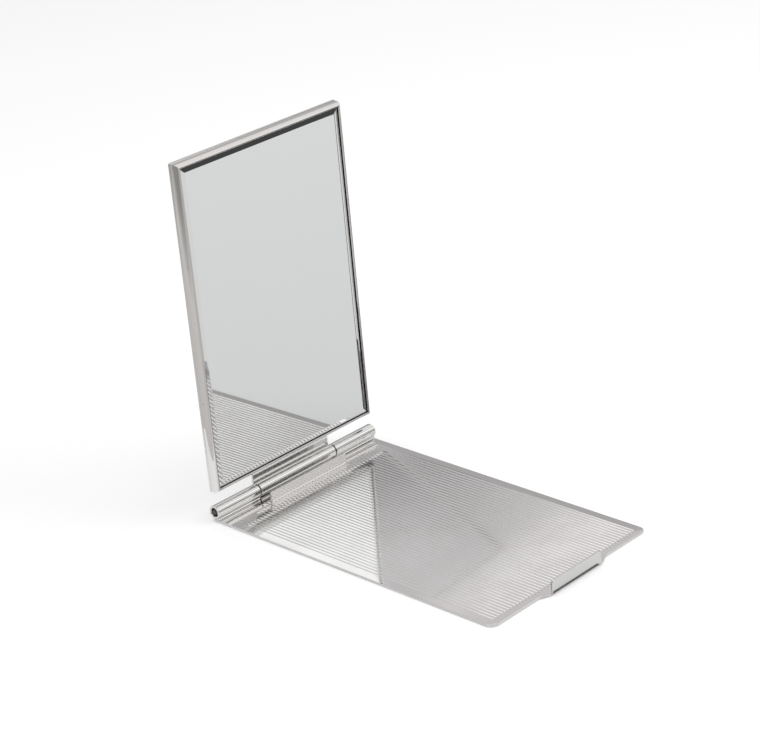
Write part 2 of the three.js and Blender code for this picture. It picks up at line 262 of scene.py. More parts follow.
class Wiring:
    """A node tree that is cleared and then filled by one method."""

    def __init__(self, tree):
        self.tree = tree
        tree.nodes.clear()

    def add(self, kind, settings=None, sockets=None):
        """Adds a node, makes its settings, and then feeds its sockets with values or signals."""
        node = self.tree.nodes.new(kind)
        for name, value in (settings or {}).items():
            if name == "stops":
                set_stops(node.color_ramp.elements, value)
            else:
                setattr(node, name, value)
        for key, value in (sockets or {}).items():
            if isinstance(value, Signal):
                self.tree.links.new(value.socket, node.inputs[key])
            else:
                node.inputs[key].default_value = value
        return node

    def signal(self, kind, output, settings=None, sockets=None):
        return Signal(self, self.add(kind, settings, sockets).outputs[output])

    def split(self, vector):
        """The X, Y and Z of a vector."""
        node = self.add("ShaderNodeSeparateXYZ", sockets={0: vector})
        return [Signal(self, output) for output in node.outputs]

    def point(self):
        """Where the surface lies in the part's frame, in metres."""
        return self.signal("ShaderNodeTexCoord", "Object")

    def rays(self):
        """Whether a ray comes from the camera, and whether it comes from a polished surface."""
        node = self.add("ShaderNodeLightPath")
        return [Signal(self, node.outputs[name]) for name in ("Is Camera Ray", "Is Glossy Ray")]

    def noise(self, point, cells, detail=2, roughness=0.5):
        """Noise with so many cells to the metre, the same each way or by X, Y and Z."""
        scale = cells if isinstance(cells, tuple) else (cells, cells, cells)
        mapped = self.signal("ShaderNodeMapping", 0, sockets={"Vector": point, "Scale": scale})
        sockets = {"Vector": mapped, "Scale": 1, "Detail": detail, "Roughness": roughness}
        return self.signal("ShaderNodeTexNoise", 0, sockets=sockets)

    def ramp(self, value, stops):
        return self.signal("ShaderNodeValToRGB", 0, {"stops": stops}, {0: value})

    def blend(self, factor, first, second):
        """A colour between the first and the second."""
        sockets = {0: factor, 6: rgba(first), 7: rgba(second)}
        return self.signal("ShaderNodeMix", 2, {"data_type": "RGBA"}, sockets)

    def surface(self, sockets):
        shader = self.signal("ShaderNodeBsdfPrincipled", 0, sockets=sockets)
        self.add("ShaderNodeOutputMaterial", sockets={"Surface": shader})


def rgba(value):
    return value if isinstance(value, Signal) else (*value, 1)


def new_material(name):
    material = bpy.data.materials.new(name)
    material.use_nodes = True
    return material, Wiring(material.node_tree)


# Finishes


def scratch_marks(wiring, point):
    """Hairlines of polishing and use, in three directions."""
    along_x = wiring.noise(point, (90, 5200, 5200), 3, 0.7)
    along_y = wiring.noise(point, (6100, 110, 4700), 3, 0.7)
    along_z = wiring.noise(point, (4300, 4600, 120), 3, 0.7)
    strongest = along_x.math("MAXIMUM", along_x.math("MAXIMUM", along_x, along_y), along_z)
    return wiring.ramp(strongest, [(0.62, 0), (0.76, 1)])


def polished_silver(name, settings, dark_mask=None, grain=0):
    """Old polished silver: hairlines, a faint warm film, small pits and a slightly uneven face.

    A dark mask is a function that tells how far a point is darkened: on the rails it paints shade along the
    glass. Grain is roughness on top of the polish.
    """
    material, wiring = new_material(name)
    point = wiring.point()
    finish = settings.finish
    scratches = scratch_marks(wiring, point) * finish.scratches
    film = wiring.ramp(wiring.noise(point, 95, 4, 0.6), [(0.42, 0), (0.78, 1)])
    pits = wiring.ramp(wiring.noise(point, 2100, 1, 0.5), [(0.76, 0), (0.82, 1)])
    tone = wiring.blend(film * 0.14, finish.silver, finish.tarnish)
    tone = wiring.blend(pits * 0.45, tone, finish.line_floor)
    if dark_mask is not None:
        dark_share = dark_mask(wiring, point)
        # Painted shade along the rails' glass edge, and darker line bottoms on the plate.
        tone = wiring.blend(dark_share, tone, finish.line_floor)
        grain = grain + dark_share.math("MINIMUM", dark_share * 30, 1) * finish.dull_lines
    wave_height, scratch_depth, pit_depth = 0.00004, 0.0000006, 0.0000020
    waves = wiring.noise(point, 55, 1, 0.4)
    height = waves * wave_height + scratches * -scratch_depth + pits * -pit_depth
    bump = wiring.signal(
        "ShaderNodeBump", "Normal", sockets={"Strength": 0.35, "Distance": 1, "Height": height}
    )
    wiring.surface(
        {
            "Base Color": tone,
            "Metallic": 1,
            "Roughness": finish.polish + grain + scratches * 0.18 + film * 0.03 + pits * 0.2,
            "Normal": bump,
        }
    )
    return material


def line_mask(settings):
    """A function that tells how deep in an engraved line a point of the plate lies, from 0 to 1."""
    plate = settings.plate
    half_field = line_places(plate)[-1]
    front = PLATE_LOW.y + plate.tab_reach + plate.front_border
    back = HINGE.y - plate.back_border

    def mask(wiring, point):
        x, y, _ = wiring.split(point)
        offset = (x + half_field + plate.line_pitch / 2) % plate.line_pitch
        near = 1 - abs(offset - plate.line_pitch / 2) / (plate.line_width / 2)
        inside = near.math("MAXIMUM", near, 0) * y.within(front, back)
        return inside * (abs(x) < half_field + plate.line_width) * settings.finish.line_paint

    return mask


def rail_shade_and_wear(settings):
    """A function that darkens the rails along the glass with painted shade and some tarnish, and dots their
    outer sides.

    The painted band is darkest on the left rail, lighter on the bottom one, and nearly gone on the top and
    right ones.
    """
    sizes = settings.frame
    middle = HINGE.z + sizes.foot + sizes.height / 2

    def mask(wiring, point):
        x, _, z = wiring.split(point)
        from_side = sizes.width / 2 - abs(x)
        from_end = sizes.height / 2 - abs(z - middle)
        inwards = from_side.math("MINIMUM", from_side, from_end) / sizes.lip_width
        dots = wiring.ramp(wiring.noise(point, 900, 3, 0.7), [(0.66, 0), (0.72, 1)])
        # Painted shade, with some tarnish, in a band along the glass.
        tarnish = wiring.ramp(inwards, [(0.3, 0), (0.55, 0.35), (0.75, 0.85), (0.95, 1)])
        # How much of the painted band each rail takes.
        by_side = [(0.03, 1), (0.05, 0.65), (0.95, 0.65), (0.97, 0.2)]
        on_top_rail = z - middle > sizes.height / 2 - sizes.lip_width
        side_share = wiring.ramp(x / sizes.width + 0.5, by_side) * (1 - on_top_rail * 0.8)
        return tarnish * side_share + dots * 0.7 * (inwards < 0.35)

    return mask


def gap_tarnish():
    """Painted shade in the gap between the glass and the rails, with some black tarnish where no cloth
    reaches: nearly black, mottled with brown.
    """
    material, wiring = new_material("gap_tarnish")
    point = wiring.point()
    gap_mottle = wiring.noise(point, 1500, 4, 0.65)
    black, brown = (0.012, 0.011, 0.010), (0.07, 0.065, 0.06)
    tone = wiring.blend(gap_mottle, black, brown)
    wiring.surface({"Base Color": tone, "Metallic": 0.4, "Roughness": 0.6 + gap_mottle * 0.3})
    return material


# Mesh building


def arc(centre, radius, start, end, steps=ROUND_STEPS):
    """Points on an arc from one angle to another, in degrees."""
    points = []
    for i in range(steps + 1):
        turn = math.radians(start + (end - start) * i / steps)
        points.append(Vector(centre) + Vector((radius * math.cos(turn), radius * math.sin(turn))))
    return points


def rectangle(width, height, low_radius, high_radius):
    """A loop round a rectangle centred on the origin, with round corners."""
    x, y = width / 2, height / 2
    loop = arc((x - low_radius, low_radius - y), low_radius, -90, 0)
    loop += arc((x - high_radius, y - high_radius), high_radius, 0, 90)
    loop += arc((high_radius - x, y - high_radius), high_radius, 90, 180)
    loop += arc((low_radius - x, low_radius - y), low_radius, 180, 270)
    return loop


def inset(loop, distances):
    """The loop moved inwards, at each point by that point's own distance."""
    moved = []
    for i, point in enumerate(loop):
        before = (point - loop[i - 1]).normalized()
        after = (loop[(i + 1) % len(loop)] - point).normalized()
        inward = Vector((-before.y - after.y, before.x + after.x)).normalized()
        moved.append(point + inward * distances[i])
    return moved


def ring(mesh, loop, heights, place):
    return [mesh.verts.new(place @ Vector((p.x, p.y, h))) for p, h in zip(loop, heights)]


def band(mesh, lower, upper, closed=True):
    """Quads between two rings, or two open rows, of as many vertices."""
    faces = []
    for i in range(0 if closed else 1, len(lower)):
        faces.append(mesh.faces.new((lower[i - 1], lower[i], upper[i], upper[i - 1])))
    return faces


def revolve(mesh, profile, place, closed=True):
    """Turns a profile, whose points lie along X and out from it, once round X."""
    rows = []
    for i in range(TUBE_STEPS):
        turn = 2 * math.pi * i / TUBE_STEPS
        points = [Vector((p.x, p.y * math.cos(turn), p.y * math.sin(turn))) for p in profile]
        rows.append([mesh.verts.new(place @ point) for point in points])
    for i in range(TUBE_STEPS):
        band(mesh, rows[i - 1], rows[i], closed)


def fill_between(mesh, outer, inner):
    """Fills a flat face between two closed loops of vertices."""
    edges = []
    for loop in (outer, inner):
        for i, vertex in enumerate(loop):
            pair = (loop[i - 1], vertex)
            edges.append(mesh.edges.get(pair) or mesh.edges.new(pair))
    bmesh.ops.triangle_fill(mesh, edges=edges, use_beauty=True)


def sheet_rings(mesh, loop, thickness, place, low_rounds, high_round):
    """The rounded rim of a sheet, whose underside is closed. Gives the ring round its upper face.

    A lower radius that is larger than the sheet's height allows gives a flatter, elliptical edge.
    """
    rings = []
    count = len(loop)
    rises = [min(r, thickness - high_round) for r in low_rounds]
    for turn in QUARTER_TURN:
        moved = inset(loop, [r * (1 - math.sin(turn)) for r in low_rounds])
        rings.append(ring(mesh, moved, [r * (1 - math.cos(turn)) for r in rises], place))
    for turn in QUARTER_TURN:
        moved = inset(loop, [high_round * (1 - math.cos(turn))] * count)
        height = thickness - high_round * (1 - math.sin(turn))
        rings.append(ring(mesh, moved, [height] * count, place))
    for lower, upper in zip(rings, rings[1:]):
        band(mesh, lower, upper)
    mesh.faces.new(list(reversed(rings[0])))
    return rings[-1]


def sheet(mesh, loop, thickness, place, edge_round):
    """A closed sheet with the same rounding all round, on both faces."""
    rim = sheet_rings(mesh, loop, thickness, place, [edge_round] * len(loop), edge_round)
    mesh.faces.new(rim)


def run(mesh, section, stations, place, hidden=()):
    """A closed section drawn at each station: a function turns a section point into a place there.

    The faces that end at the hidden section points take the second material.
    """
    rings = [[mesh.verts.new(place @ station(p)) for p in section] for station in stations]
    for lower, upper in zip(rings, rings[1:]):
        faces = band(mesh, lower, upper)
        for i in hidden:
            faces[i].material_index = 1
    mesh.faces.new(list(reversed(rings[0])))
    mesh.faces.new(rings[-1])


def finish_piece(mesh, name, body, slot, node, materials=(), smooth_angle=SMOOTH_ANGLE):
    """Closes the mesh, smooths its rounded edges alone, and lets the object stand for its node.

    Without materials of its own, the piece has the plain one that the frame brings for its slot.
    """
    bmesh.ops.remove_doubles(mesh, verts=mesh.verts, dist=TINY)
    open_edges = [edge for edge in mesh.edges if edge.is_boundary]
    bmesh.ops.holes_fill(mesh, edges=open_edges, sides=0)
    bmesh.ops.recalc_face_normals(mesh, faces=mesh.faces)
    for face in mesh.faces:
        face.smooth = True
    for edge in mesh.edges:
        if edge.is_manifold and edge.calc_face_angle() > smooth_angle:
            edge.smooth = False
    data = bpy.data.meshes.new(name)
    mesh.to_mesh(data)
    mesh.free()
    for material in materials or [bpy.data.materials[slot]]:
        data.materials.append(material)
    piece = bpy.data.objects.new(name, data)
    bpy.context.scene.collection.objects.link(piece)
    weighted = piece.modifiers.new("Weighted normals", "WEIGHTED_NORMAL")
    weighted.keep_sharp = True
    weighted.weight = 100
    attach(piece, body)
    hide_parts(node)


def settings_of(context):
    return context.scene.handbag_mirror


def upright(y, z):
    """Stands a sheet up: its own x stays, its y goes up, and its thickness goes back."""
    turned = Matrix.Rotation(math.pi / 2, 4, "X") @ Matrix.Scale(-1, 4, (0, 0, 1))
    return Matrix.Translation((0, y, z)) @ turned


def standing_strip(node, foot, edge_round, corner):
    """The mesh of a node's upright strip, from its foot up, with rounded upper corners."""
    low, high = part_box(node)
    height = high.z - foot
    mesh = bmesh.new()
    loop = rectangle(high.x - low.x, height, edge_round, corner)
    sheet(mesh, loop, high.y - low.y, upright(low.y, foot + height / 2), edge_round)
    return mesh


def mirror_place(settings):
    """From the mirror's own position, whose origin is on the hinge axis, to the part's frame."""
    return Matrix.Translation(HINGE) @ Matrix.Rotation(-settings.frame.lean, 4, "X")


# Cover plate and catch


def line_places(plate):
    """Where the engraved lines lie along X."""
    spaces = math.floor((2 * PLATE_HIGH.x - 2 * plate.side_border) / plate.line_pitch + TINY)
    return [(i - spaces / 2) * plate.line_pitch for i in range(spaces + 1)]


def ogee(start, end):
    """An S-curve that leaves the start and meets the end level."""
    points = []
    for i in range(OGEE_STEPS + 1):
        t = i / OGEE_STEPS
        rise = t * t * (3 - 2 * t)
        points.append(Vector((start.x + (end.x - start.x) * t, start.y + (end.y - start.y) * rise)))
    return points


def plate_loop(plate, lip_half):
    """The plate's outline, and how far along the bend under the lip each of its points lies, 0 to 1."""
    x = PLATE_HIGH.x
    back = PLATE_HIGH.y
    tab = PLATE_LOW.y
    front = tab + plate.tab_reach
    r = plate.corner_radius
    shoulder = lip_half + plate.tab_shoulder
    loop = [Vector((x, back)), Vector((-x, back))]
    loop += arc((-x + r, front + r), r, 180, 270)
    left = ogee(Vector((-shoulder, front)), Vector((-lip_half, tab)))
    right = [Vector((-p.x, p.y)) for p in reversed(left)]
    loop += left + right
    loop += arc((x - r, front + r), r, -90, 0)
    bends = []
    for p in loop:
        along = (shoulder - abs(p.x)) / plate.tab_shoulder
        bends.append(max(0, min(1, along)) if p.y < front else 0)
    return loop, bends


def engraved_field(mesh, plate):
    """The engraved part of the upper face, whose lines end in tips. Gives the vertices round it in order.

    A line's end face is split from its tip to its full depth, so that neither half tilts the wrong way.
    """
    front = PLATE_LOW.y + plate.tab_reach + plate.front_border
    back = HINGE.y - plate.back_border
    half = plate.line_width / 2
    columns = []
    for x in line_places(plate):
        columns += [(x - half, 0), (x, 1), (x + half, 0)]
    rows = [(front, 0), (front + plate.line_run_out, 1), (back - plate.line_run_out, 1), (back, 0)]
    grid = []
    for y, reach in rows:
        heights = [PLATE_HIGH.z - plate.line_depth * deep * reach for _, deep in columns]
        grid.append([mesh.verts.new((x, y, height)) for (x, _), height in zip(columns, heights)])
    for lower, upper in zip(grid, grid[1:]):
        for i in range(len(columns) - 1):
            face = mesh.faces.new((lower[i], lower[i + 1], upper[i + 1], upper[i]))
            mesh.edges.get((lower[i], upper[i])).smooth = False
            between_lines = columns[i][1] == columns[i + 1][1]
            if between_lines or lower is grid[1]:
                continue
            tip, full = (lower, upper) if lower is grid[0] else (upper, lower)
            middle, side = (i, i + 1) if columns[i][1] else (i + 1, i)
            bmesh.utils.face_split(face, tip[middle], full[side])
            mesh.edges.get((tip[middle], full[side])).smooth = False
    left = [row[0] for row in grid]
    right = [row[-1] for row in grid]
    return grid[0] + right[1:] + list(reversed(grid[-1]))[1:] + list(reversed(left))[1:-1]


class OBJECT_OT_mirror_plate(bpy.types.Operator):
    """Builds the engraved cover plate with its tab"""

    bl_idname = "object.handbag_mirror_plate"
    bl_label = "Cover plate"

    def execute(self, context):
        settings = settings_of(context)
        plate = settings.plate
        lip_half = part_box("catch_lip")[1].x
        loop, bends = plate_loop(plate, lip_half)
        low_rounds = [plate.edge_round + (plate.bend_round - plate.edge_round) * bend for bend in bends]
        mesh = bmesh.new()
        rim = sheet_rings(mesh, loop, PLATE_HIGH.z, Matrix.Identity(4), low_rounds, plate.edge_round)
        fill_between(mesh, rim, engraved_field(mesh, plate))
        border = PLATE_HIGH.x - plate.side_border
        for vertex in mesh.verts:
            if vertex.co.x > border and vertex.co.z > PLATE_HIGH.z / 2:
                vertex.co.z -= (vertex.co.x - border) * math.tan(plate.far_droop)
        grain = settings.finish.plate_grain
        material = polished_silver("engraved_silver", settings, line_mask(settings), grain)
        finish_piece(mesh, "engraved_plate", "cover", "silver", "cover_plate", [material])
        return {"FINISHED"}


class OBJECT_OT_mirror_catch(bpy.types.Operator):
    """Builds the catch lip and the bead inside it"""

    bl_idname = "object.handbag_mirror_catch"
    bl_label = "Catch"

    def execute(self, context):
        settings = settings_of(context)
        plate = settings.plate
        foot = PLATE_HIGH.z - plate.edge_round
        mesh = standing_strip("catch_lip", foot, plate.edge_round, plate.lip_corner)
        finish_piece(mesh, "lip", "cover", "silver", "catch_lip")

        low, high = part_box("catch_bead")
        radius = high.y - low.y
        middle = (low.z + high.z) / 2
        section = arc((low.y, middle), radius, -90, 90, 3 * ROUND_STEPS)
        tip = 0.05  # of the section, where the rounded ends close
        stations = [(high.x - radius * (1 - math.sin(t)), max(math.cos(t), tip)) for t in QUARTER_TURN]
        ends = [(-x, size) for x, size in reversed(stations)] + stations

        def station(x, size):
            return lambda p: Vector((x, low.y + (p.x - low.y) * size, middle + (p.y - middle) * size))

        mesh = bmesh.new()
        run(mesh, section, [station(x, size) for x, size in ends], Matrix.Identity(4))
        finish_piece(mesh, "bead", "cover", "silver", "catch_bead")
        return {"FINISHED"}


# Hinge


def tube(mesh, left, right, outer, bore, end_round, place):
    """A tube along X with rounded ends."""
    profile = arc((right - end_round, outer - end_round), end_round, 0, 90)
    profile += arc((left + end_round, outer - end_round), end_round, 90, 180)
    profile += [Vector((left, bore + end_round)), Vector((left + end_round, bore))]
    profile += [Vector((right - end_round, bore)), Vector((right, bore + end_round))]
    revolve(mesh, profile, place)


def solder_fillet(mesh, left, right, hinge, place):
    """The solder between a tube and the plate: hollow in front, and flush with the plate's back edge."""
    r = hinge.knuckle_radius
    floor = PLATE_HIGH.z - HINGE.z
    start = Vector((r * math.cos(hinge.solder_start), r * math.sin(hinge.solder_start)))
    end = Vector((start.x - hinge.solder_width, floor))
    corner = Vector((start.x, floor))
    middle = corner * hinge.solder_hollow + (start + end) * (1 - hinge.solder_hollow) / 2
    section = []
    for i in range(ROUND_STEPS + 1):
        t = i / ROUND_STEPS
        section.append(start * (1 - t) ** 2 + middle * 2 * t * (1 - t) + end * t * t)
    back = PLATE_HIGH.y - HINGE.y
    inside_tube = -0.97 * r  # where the section's top is hidden
    section += [Vector((back, floor)), Vector((back, inside_tube))]

    def station(x):
        return lambda p: Vector((x, p.x, p.y))

    run(mesh, section, [station(left + hinge.end_round), station(right - hinge.end_round)], place)


class OBJECT_OT_mirror_knuckles(bpy.types.Operator):
    """Builds the two outer knuckles with their solder, and the pin"""

    bl_idname = "object.handbag_mirror_knuckles"
    bl_label = "Outer knuckles and pin"

    def execute(self, context):
        settings = settings_of(context)
        hinge = settings.hinge
        place = Matrix.Translation(HINGE)
        for node in ("left_knuckle", "right_knuckle"):
            low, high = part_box(node)
            mesh = bmesh.new()
            tube(mesh, low.x, high.x, hinge.knuckle_radius, hinge.bore_radius, hinge.end_round, place)
            solder_fillet(mesh, low.x, high.x, hinge, place)
            finish_piece(mesh, node + "_tube", "cover", "silver", node)

        low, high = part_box("hinge_pin")
        radius = (high.z - low.z) / 2
        flat = 0.15  # of a step, in the middle of each domed end
        dome = []
        for i in range(ROUND_STEPS + 1):
            turn = math.pi / 2 * (i + flat) / (ROUND_STEPS + flat)
            drop = radius * hinge.pin_dome * (1 - math.cos(turn))
            dome.append(Vector((high.x - drop, radius * math.sin(turn))))
        mesh = bmesh.new()
        revolve(mesh, dome + [Vector((-p.x, p.y)) for p in reversed(dome)], place, closed=False)
        finish_piece(mesh, "pin", "cover", "pin_steel", "hinge_pin")
        return {"FINISHED"}


class OBJECT_OT_mirror_guard(bpy.types.Operator):
    """Builds the upright strip in front of the middle knuckle"""

    bl_idname = "object.handbag_mirror_guard"
    bl_label = "Knuckle guard"

    def execute(self, context):
        settings = settings_of(context)
        low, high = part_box("knuckle_guard")
        foot = PLATE_HIGH.z
        corner = settings.hinge.guard_corner
        mesh = standing_strip("knuckle_guard", foot, settings.plate.edge_round, corner)
        solder = settings.hinge.guard_solder
        section = [Vector((0, 0)), Vector((-solder, 0))]
        section += arc((-solder, solder), solder, -75, -15)
        section.append(Vector((0, solder)))

        def station(x, size):
            return lambda p: Vector((x, low.y + p.x * size, foot + p.y * size))

        tip = 0.2  # of the section, where the solder ends
        ends = [(-high.x, tip), (solder - high.x, 1), (high.x - solder, 1), (high.x, tip)]
        sheet_faces = len(mesh.faces)
        run(mesh, section, [station(x, size) for x, size in ends], Matrix.Identity(4))
        mesh.faces.ensure_lookup_table()
        for face in mesh.faces[sheet_faces:]:
            face.material_index = 1
        satin = polished_silver("satin_silver", settings, grain=settings.finish.satin)
        materials = [satin, bpy.data.materials["silver"]]
        finish_piece(mesh, "guard", "cover", "satin_silver", "knuckle_guard", materials)
        return {"FINISHED"}


class OBJECT_OT_mirror_leaf(bpy.types.Operator):
    """Builds the middle knuckle and its leaf, rolled from one strip"""

    bl_idname = "object.handbag_mirror_leaf"
    bl_label = "Middle knuckle and leaf"

    def execute(self, context):
        settings = settings_of(context)
        hinge = settings.hinge
        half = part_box("hinge_leaf")[1].x
        r = hinge.knuckle_radius
        e = hinge.end_round
        inner_face = r - hinge.leaf_thickness
        bent_face = inner_face - hinge.leaf_bend
        meets = math.degrees(math.acos(bent_face / r))
        outline = arc((r - e, hinge.leaf_top - e), e, 0, 90)
        outline += arc((inner_face + e, hinge.leaf_top - e), e, 90, 180)
        for i in range(DOME_STEPS + 1):
            t = i / DOME_STEPS
            z = hinge.bend_top + (hinge.bend_foot - hinge.bend_top) * t
            outline.append(Vector((bent_face + hinge.leaf_bend * (1 - t) ** 2, z)))
        outline += arc((0, 0), r, meets, 360, TUBE_STEPS)
        rounded = []
        for turn in QUARTER_TURN:
            depths = [e * (1 - math.cos(turn))] * len(outline)
            rounded.append((half - e + e * math.sin(turn), inset(outline, depths)))
        mesh = bmesh.new()
        place = mirror_place(settings)

        def ring_at(x, loop):
            return [mesh.verts.new(place @ Vector((x, p.x, p.y))) for p in loop]

        outer = [ring_at(-x, loop) for x, loop in reversed(rounded)]
        outer += [ring_at(x, loop) for x, loop in rounded]
        for first, second in zip(outer, outer[1:]):
            band(mesh, first, second)
        bore = arc((0, 0), hinge.bore_radius, 0, 360, TUBE_STEPS)[:-1]
        left_hole, right_hole = ring_at(-half, bore), ring_at(half, bore)
        band(mesh, left_hole, right_hole)
        fill_between(mesh, outer[0], left_hole)
        fill_between(mesh, outer[-1], right_hole)
        finish_piece(mesh, "leaf", "mirror", "silver", "hinge_leaf")
        return {"FINISHED"}


# Mirror frame


def rail_section(sizes):
    """A rail's section: x is depth from the rails' face, y goes inwards from the outer face."""
    depth = sizes.front + sizes.back - sizes.back_thickness
    soft = sizes.lip_thickness / 4
    section = []
    for p in arc((0, 0), 1, 180, 270, DOME_STEPS):
        section.append(Vector((sizes.rail_sweep * (1 + p.x), sizes.rail_round * (1 + p.y))))
    section += [Vector((depth, y)) for y in (0, sizes.rail_wall)]
    section += [Vector((sizes.lip_thickness, y)) for y in (sizes.rail_wall, sizes.lip_width - soft)]
    section += arc((sizes.lip_thickness - soft, sizes.lip_width - soft), soft, 0, 90)
    section += arc((soft, sizes.lip_width - soft), soft, 90, 180)
    return section


def rail(mesh, sizes, half_length, distance, quarter_turns, place):
    """A rail with mitred ends, its outer face the given distance from the frame's middle."""
    middle = Matrix.Translation((0, 0, sizes.foot + sizes.height / 2))
    turned = place @ middle @ Matrix.Rotation(quarter_turns * math.pi / 2, 4, "Y")

    def station(side):
        end = half_length - sizes.mitre_gap
        return lambda p: Vector((side * (end - p.y), p.x - sizes.front, p.y - distance))

    section = rail_section(sizes)
    # These inner faces, in the gap by the glass, take the painted gap shade.
    inner = [i for i, p in enumerate(section) if p.y >= sizes.rail_wall and p.x >= sizes.lip_thickness]
    run(mesh, section, [station(-1), station(1)], turned, inner)


class OBJECT_OT_mirror_rails(bpy.types.Operator):
    """Builds the four mitred rails"""

    bl_idname = "object.handbag_mirror_rails"
    bl_label = "Rails"

    def execute(self, context):
        settings = settings_of(context)
        sizes = settings.frame
        place = mirror_place(settings)
        halves = (sizes.width / 2, sizes.height / 2)
        # Rail silver, with painted shade and some tarnish along the glass, and pits on the outer sides.
        worn = polished_silver("rail_silver", settings, rail_shade_and_wear(settings))
        materials = [worn, gap_tarnish()]
        for turns, side in enumerate(("bottom", "left", "top", "right")):
            mesh = bmesh.new()
            rail(mesh, sizes, halves[turns % 2], halves[1 - turns % 2], turns, place)
            finish_piece(mesh, side + "_moulding", "mirror", "silver", side + "_rail", materials)
        return {"FINISHED"}


class OBJECT_OT_mirror_back(bpy.types.Operator):
    """Builds the back plate and the card inside it"""

    bl_idname = "object.handbag_mirror_back"
    bl_label = "Back plate and card"

    def execute(self, context):
        settings = settings_of(context)
        sizes = settings.frame
        place = mirror_place(settings)
        height = sizes.height + sizes.overhang + sizes.top_overhang
        width = sizes.width + 2 * sizes.overhang
        mesh = bmesh.new()
        loop = rectangle(width, height, sizes.back_corner, sizes.back_corner)
        stand = place @ upright(sizes.back - sizes.back_thickness, sizes.foot - sizes.overhang + height / 2)
        sheet(mesh, loop, sizes.back_thickness, stand, settings.plate.edge_round)
        finish_piece(mesh, "back", "mirror", "silver", "back_plate")

        margin = sizes.rail_wall + 2 * sizes.glass_clearance
        width = sizes.width - 2 * margin
        height = sizes.height - 2 * margin
        face = sizes.glass_back - sizes.front + SEAT_GAP
        thickness = sizes.back - sizes.back_thickness - face - SEAT_GAP
        corner = sizes.glass_clearance
        mesh = bmesh.new()
        stand = place @ upright(face, sizes.foot + sizes.height / 2)
        sheet(mesh, rectangle(width, height, corner, corner), thickness, stand, corner / 2)
        finish_piece(mesh, "card", "mirror", "grey_card", "backing_card")
        return {"FINISHED"}


class OBJECT_OT_mirror_glass(bpy.types.Operator):
    """Builds the bevelled, silvered glass"""

    bl_idname = "object.handbag_mirror_glass"
    bl_label = "Glass"

    def execute(self, context):
        settings = settings_of(context)
        sizes = settings.frame
        half_width = sizes.width / 2 - sizes.rail_wall - sizes.glass_clearance
        half_height = sizes.height / 2 - sizes.rail_wall - sizes.glass_clearance
        arris = sizes.arris_width
        slope = sizes.bevel_depth / sizes.bevel_width
        steps = [(0, sizes.glass_back - sizes.glass_recess), (0, sizes.bevel_depth)]
        for i in range(ROUND_STEPS + 1):
            t = i / ROUND_STEPS
            steps.append((sizes.bevel_width - arris * (1 - 2 * t), slope * arris * (1 - t) ** 2))
        place = mirror_place(settings) @ Matrix.Translation((0, 0, sizes.foot + sizes.height / 2))
        front = sizes.glass_recess - sizes.front
        mesh = bmesh.new()
        rings = []
        for distance, depth in steps:
            x, z = half_width - distance, half_height - distance
            corners = ((-x, -z), (x, -z), (x, z), (-x, z))
            rings.append([mesh.verts.new(place @ Vector((a, front + depth, b))) for a, b in corners])
        for first, second in zip(rings, rings[1:]):
            band(mesh, first, second)
        mesh.faces.new(rings[-1])
        mesh.faces.new(list(reversed(rings[0])))
        finish_piece(mesh, "glass", "mirror", "silvered_glass", "mirror_glass", smooth_angle=ARRIS_ANGLE)
        return {"FINISHED"}


# Studio

WHITE = (1, 1, 1)
FLOOR_DROP = 0.00005  # how far the floor lies under the plate
CARD_HEIGHT = 0.0003
# Corners, in X and Y, of two black cards that lie to the right of the mirror and show in the metal alone
BLACK_CARDS = (
    ((0.029, 0.3), (0.029, 0.040), (0.086, -0.017), (0.086, 0.016), (0.3, -0.079), (0.3, 0.3)),
    ((0.086, -0.017), (0.3, -0.231), (0.3, -0.122), (0.086, 0.007)),
)


def stage_object(name, mesh, material):
    data = bpy.data.meshes.new(name)
    mesh.to_mesh(data)
    mesh.free()
    data.materials.append(material)
    piece = bpy.data.objects.new(name, data)
    bpy.context.scene.collection.objects.link(piece)
    return piece


def floor_material(stage):
    """A pale floor. For the camera alone it is lifted, so that it melts into the background.

    The metal sees tones of its own there: paler behind the mirror, darker on the left and in front, and a
    painted shadow, nearly black, along the tab's foot.
    A ramp reads from 0 to 1, so each distance in metres is scaled to fit into it.
    """
    material, wiring = new_material("studio_floor")
    camera, glossy = wiring.rays()
    x, y, _ = wiring.split(wiring.point())
    behind = wiring.ramp((y - x) * 5, [(0.15, 0), (0.4, 1)])
    before = wiring.ramp(y * -10, [(0.48, 0), (0.56, 1)]) * (x > -0.08) * (x + y < -0.02)
    left = x < -0.06
    left_tones = [
        (0.15, (0.66, 0.64, 0.63)),
        (0.41, (0.74, 0.72, 0.71)),
        (0.50, (0.56, 0.55, 0.54)),
        (0.65, (0.36, 0.35, 0.34)),
    ]
    # A painted shadow, nearly black, on the floor along the tab's foot, which the metal alone sees.
    painted_tab_shadow = y.within(PLATE_LOW.y - stage.tab_shadow, PLATE_LOW.y) * (abs(x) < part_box("catch_lip")[1].x)
    tone = wiring.blend(glossy * behind, stage.floor, stage.floor_behind)
    tone = wiring.blend(glossy * left, tone, wiring.ramp(x * -2.5, left_tones))
    tone = wiring.blend(glossy * before, tone, stage.floor_before)
    tone = wiring.blend(glossy * painted_tab_shadow, tone, stage.painted_tab_shadow)
    diffuse = wiring.signal("ShaderNodeBsdfDiffuse", 0, sockets={"Color": tone})
    glow = wiring.signal("ShaderNodeEmission", 0, sockets={"Strength": camera * stage.lift})
    both = wiring.signal("ShaderNodeAddShader", 0, sockets={0: diffuse, 1: glow})
    wiring.add("ShaderNodeOutputMaterial", sockets={"Surface": both})
    return material


